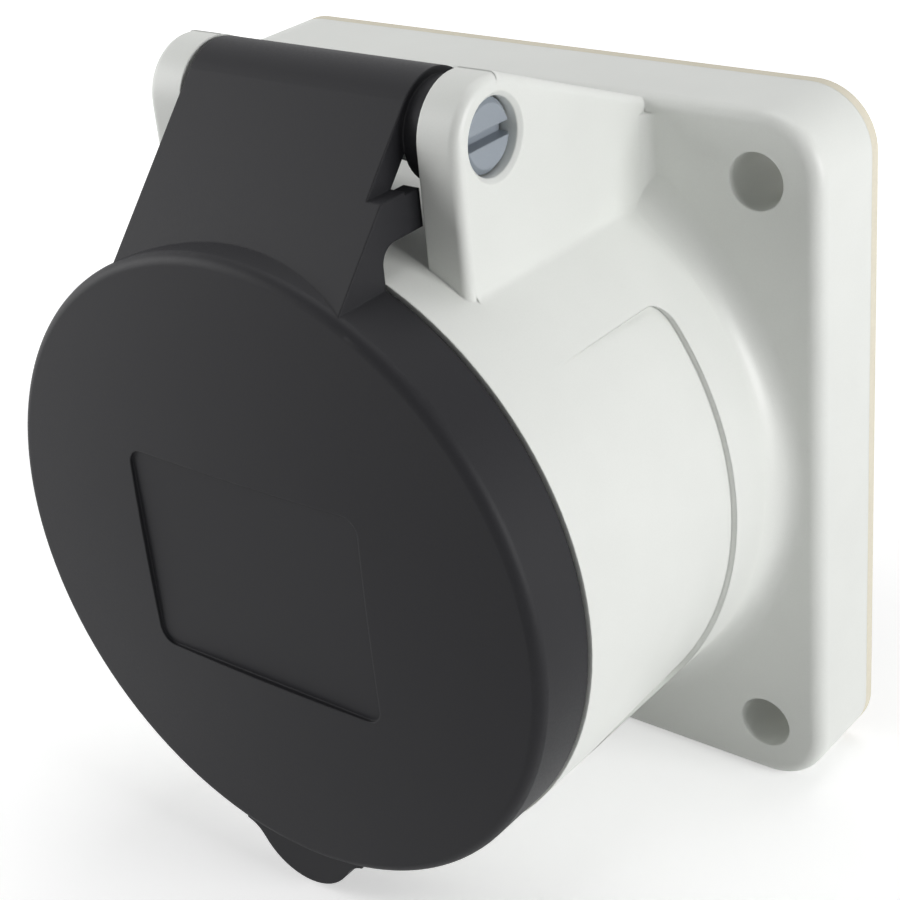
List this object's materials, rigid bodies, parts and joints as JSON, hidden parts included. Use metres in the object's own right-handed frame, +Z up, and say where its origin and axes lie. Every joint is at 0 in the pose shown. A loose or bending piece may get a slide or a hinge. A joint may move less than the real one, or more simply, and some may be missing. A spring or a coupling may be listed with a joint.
{
  "type": "panel socket",
  "caption": "Square-flanged round panel socket for low-voltage plugs, with ears that carry a domed spring-closed lid, a keyed collar and a contact insert with rear clamps.",
  "frame": {"origin": "centre of the four fixing holes on the flange's back face", "axes": "-Y out of the panel towards the plug, +Z up towards the lid's hinge, +X right seen from the front"},
  "size_m": [0.0634, 0.0574, 0.0709],
  "materials": {
    "white_plastic": "fine satin",
    "cream_rubber": "matt",
    "black_plastic": "fine grain",
    "black_rubber": "matt",
    "blue_grey_plastic": "satin",
    "spring_steel": "drawn wire",
    "grey_plastic": "satin",
    "zinc_steel": "zinc plated",
    "nickel_brass": "nickel plated",
    "brass": "turned"
  },
  "bodies": {
    "socket": {"housing": "white_plastic", "flange_gasket": "cream_rubber", "hinge_pin": "blue_grey_plastic", "lid_spring": "spring_steel", "contact_carrier": "grey_plastic", "terminal_block": "grey_plastic", "contact_sleeve_1": "nickel_brass", "contact_sleeve_2": "nickel_brass", "contact_sleeve_3": "nickel_brass", "sleeve_ring_1": "spring_steel", "sleeve_ring_2": "spring_steel", "sleeve_ring_3": "spring_steel", "terminal_clamp_1": "brass", "terminal_clamp_2": "brass", "terminal_clamp_3": "brass", "clamp_screws": "zinc_steel", "carrier_screws": "zinc_steel", "block_screw": "zinc_steel"},
    "cover": {"lid": "black_plastic", "lid_gasket": "black_rubber"}
  },
  "joints": [
    {"name": "lid_hinge", "type": "hinge", "parent": "socket", "child": "cover", "pos_m": [0, -0.028, 0.0345], "axis": [-1, 0, 0], "range_deg": [0, 150], "stiffness_Nm_per_rad": 0.04, "springref_deg": -28.65, "deforming": ["lid_spring"]}
  ]
}
